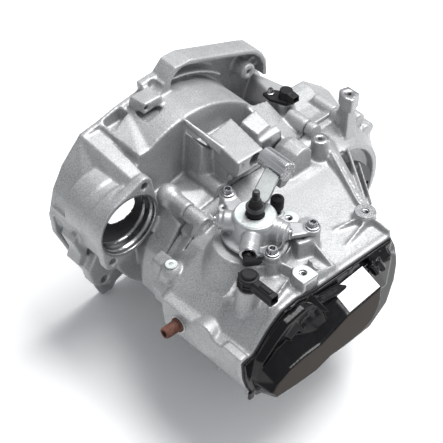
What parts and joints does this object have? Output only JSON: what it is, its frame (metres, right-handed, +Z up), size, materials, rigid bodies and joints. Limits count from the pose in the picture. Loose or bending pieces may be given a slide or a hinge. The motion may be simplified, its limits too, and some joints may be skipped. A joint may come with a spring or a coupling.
{
  "type": "manual transmission",
  "caption": "Transverse manual transmission: clutch bell, ribbed gear casing, end cover, selector turret with lever and counterweight, with shafts, gears and differential inside.",
  "frame": {"origin": "centre of the footprint at the base, under the bell's lower ears and the casing's foot", "axes": "+X along the shafts from the engine face to the end cover, +Y from the starter side to the differential side, +Z up"},
  "size_m": [0.369, 0.4484, 0.343],
  "materials": {
    "cast_aluminium": "as cast, fine grain",
    "black_enamel_steel": "gloss black enamel on pressed steel",
    "turned_steel": "turned",
    "gear_steel": "ground and case hardened",
    "phosphated_steel": "dark phosphate",
    "black_plastic": "matt moulded",
    "black_rubber": "matt",
    "rusty_steel": "rusted",
    "gasket_fibre": "matt",
    "cast_iron": "as cast"
  },
  "bodies": {
    "housing": {"clutch_housing": "cast_aluminium", "gear_casing": "cast_aluminium", "cover_gasket": "gasket_fibre", "end_cover": "black_enamel_steel", "selector_housing": "cast_aluminium", "selector_bolt_1": "turned_steel", "selector_bolt_2": "turned_steel", "selector_bolt_3": "turned_steel", "idler_shaft": "turned_steel", "input_bearing_front": "turned_steel", "input_bearing_rear": "turned_steel", "output_bearing_front": "turned_steel", "output_bearing_rear": "turned_steel", "diff_bearing_left": "turned_steel", "diff_bearing_right": "turned_steel", "guide_sleeve": "turned_steel", "reverse_switch": "black_plastic", "vent_cap": "black_plastic", "drain_plug": "rusty_steel", "speed_sensor": "black_plastic"},
    "input": {"input_shaft": "gear_steel", "hub_34": "gear_steel", "hub_5": "gear_steel", "input_shaft_nut": "phosphated_steel"},
    "output": {"output_shaft": "gear_steel", "output_gear_3": "gear_steel", "output_gear_4": "gear_steel", "output_gear_5": "gear_steel", "hub_12": "gear_steel"},
    "output_gear_1_body": {"output_gear_1": "gear_steel"},
    "output_gear_2_body": {"output_gear_2": "gear_steel"},
    "reverse_idler_body": {"reverse_idler": "gear_steel"},
    "input_gear_3_body": {"input_gear_3": "gear_steel"},
    "input_gear_4_body": {"input_gear_4": "gear_steel"},
    "input_gear_5_body": {"input_gear_5": "gear_steel"},
    "differential": {"diff_case": "cast_iron", "crown_wheel": "gear_steel", "diff_pin": "turned_steel"},
    "left_output": {"side_gear_left": "gear_steel", "drive_flange_left": "phosphated_steel"},
    "right_output": {"side_gear_right": "gear_steel", "drive_flange_right": "phosphated_steel"},
    "spider_upper": {"spider_gear_upper": "gear_steel"},
    "spider_lower": {"spider_gear_lower": "gear_steel"},
    "fork_12_body": {"fork_12": "cast_iron"},
    "sleeve_12_body": {"sleeve_12": "gear_steel"},
    "fork_34_body": {"fork_34": "cast_iron"},
    "sleeve_34_body": {"sleeve_34": "gear_steel"},
    "fork_5_body": {"fork_5": "cast_iron"},
    "sleeve_5_body": {"sleeve_5": "gear_steel"},
    "gate": {"selector_collar": "turned_steel"},
    "selector": {"selector_shaft": "phosphated_steel", "selector_finger": "gear_steel", "shift_lever": "turned_steel", "counterweight": "turned_steel", "selector_boot": "black_rubber"},
    "release_lever_body": {"release_lever": "phosphated_steel"},
    "release_bearing_body": {"release_bearing": "turned_steel"}
  },
  "joints": [
    {"name": "input_spin", "type": "hinge", "parent": "housing", "child": "input", "pos_m": [0.0555, -0.0478, 0.177], "axis": [1, 0, 0], "continuous": true},
    {"name": "output_gear_1_spin", "type": "hinge", "parent": "housing", "child": "output_gear_1_body", "pos_m": [-0.0435, 0.01298, 0.1403], "axis": [1, 0, 0], "continuous": true},
    {"name": "output_gear_2_spin", "type": "hinge", "parent": "housing", "child": "output_gear_2_body", "pos_m": [0.0095, 0.01298, 0.1403], "axis": [1, 0, 0], "continuous": true},
    {"name": "reverse_idler_spin", "type": "hinge", "parent": "housing", "child": "reverse_idler_body", "pos_m": [-0.0165, -0.0556, 0.1327], "axis": [1, 0, 0], "continuous": true},
    {"name": "differential_spin", "type": "hinge", "parent": "housing", "child": "differential", "pos_m": [-0.0695, 0.1162, 0.153], "axis": [1, 0, 0], "continuous": true},
    {"name": "output_spin", "type": "hinge", "parent": "housing", "child": "output", "pos_m": [0.0555, 0.01298, 0.1403], "axis": [1, 0, 0], "continuous": true},
    {"name": "input_gear_3_spin", "type": "hinge", "parent": "housing", "child": "input_gear_3_body", "pos_m": [0.0335, -0.0478, 0.177], "axis": [1, 0, 0], "continuous": true},
    {"name": "input_gear_4_spin", "type": "hinge", "parent": "housing", "child": "input_gear_4_body", "pos_m": [0.0835, -0.0478, 0.177], "axis": [1, 0, 0], "continuous": true},
    {"name": "input_gear_5_spin", "type": "hinge", "parent": "housing", "child": "input_gear_5_body", "pos_m": [0.1195, -0.0478, 0.177], "axis": [1, 0, 0], "continuous": true},
    {"name": "left_output_spin", "type": "hinge", "parent": "differential", "child": "left_output", "pos_m": [-0.0945, 0.1162, 0.153], "axis": [1, 0, 0], "continuous": true},
    {"name": "right_output_spin", "type": "hinge", "parent": "differential", "child": "right_output", "pos_m": [-0.0445, 0.1162, 0.153], "axis": [1, 0, 0], "continuous": true},
    {"name": "spider_upper_spin", "type": "hinge", "parent": "differential", "child": "spider_upper", "pos_m": [-0.0695, 0.1162, 0.153], "axis": [0, 0, 1], "continuous": true},
    {"name": "spider_lower_spin", "type": "hinge", "parent": "differential", "child": "spider_lower", "pos_m": [-0.0695, 0.1162, 0.153], "axis": [0, 0, 1], "continuous": true},
    {"name": "fork_12_slide", "type": "slide", "parent": "housing", "child": "fork_12_body", "axis": [1, 0, 0], "range_m": [-0.008, 0.008]},
    {"name": "sleeve_12_slide", "type": "slide", "parent": "output", "child": "sleeve_12_body", "axis": [1, 0, 0], "range_m": [-0.0082, 0.0082]},
    {"name": "fork_5_slide", "type": "slide", "parent": "housing", "child": "fork_5_body", "axis": [1, 0, 0], "range_m": [-0.006, 0]},
    {"name": "sleeve_5_slide", "type": "slide", "parent": "input", "child": "sleeve_5_body", "axis": [1, 0, 0], "range_m": [-0.0062, 0.0002]},
    {"name": "gate_select", "type": "slide", "parent": "housing", "child": "gate", "axis": [0, 0, 1], "range_m": [-0.007, 0.007], "stiffness_N_per_m": 6000, "springref_m": 0.001},
    {"name": "shift_turn", "type": "hinge", "parent": "gate", "child": "selector", "pos_m": [0.0555, -0.0978, 0.287], "axis": [0, 0, 1], "range_deg": [-14, 14]},
    {"name": "fork_34_slide", "type": "slide", "parent": "housing", "child": "fork_34_body", "axis": [1, 0, 0], "range_m": [-0.0083, 0.0083]},
    {"name": "sleeve_34_slide", "type": "slide", "parent": "input", "child": "sleeve_34_body", "axis": [1, 0, 0], "range_m": [-0.0083, 0.0083]},
    {"name": "release_lever_turn", "type": "hinge", "parent": "housing", "child": "release_lever_body", "pos_m": [-0.1245, -0.0772, 0.13655], "axis": [0, -0.8089, 0.5879], "range_deg": [0, 7]},
    {"name": "release_bearing_slide", "type": "slide", "parent": "housing", "child": "release_bearing_body", "axis": [-1, 0, 0], "range_m": [0, 0.0063]}
  ],
  "couplings": [
    {"joint": "output_gear_1_spin", "follows": "input_spin", "ratio": -0.29032},
    {"joint": "output_gear_2_spin", "follows": "input_spin", "ratio": -0.53846},
    {"joint": "reverse_idler_spin", "follows": "input_spin", "ratio": -0.66667},
    {"joint": "output_spin", "follows": "differential_spin", "ratio": -3.6154},
    {"joint": "input_gear_3_spin", "follows": "differential_spin", "ratio": 4.8914},
    {"joint": "input_gear_4_spin", "follows": "differential_spin", "ratio": 3.6154},
    {"joint": "input_gear_5_spin", "follows": "differential_spin", "ratio": 2.958},
    {"joint": "right_output_spin", "follows": "left_output_spin", "ratio": -1},
    {"joint": "spider_upper_spin", "follows": "left_output_spin", "ratio": 1.4},
    {"joint": "spider_lower_spin", "follows": "left_output_spin", "ratio": -1.4},
    {"joint": "sleeve_12_slide", "follows": "fork_12_slide", "ratio": 1},
    {"joint": "sleeve_5_slide", "follows": "fork_5_slide", "ratio": 1},
    {"joint": "fork_34_slide", "follows": "shift_turn", "m_per_rad": 0.0328},
    {"joint": "sleeve_34_slide", "follows": "shift_turn", "m_per_rad": 0.0328},
    {"joint": "release_bearing_slide", "follows": "release_lever_turn", "m_per_rad": 0.05}
  ]
}
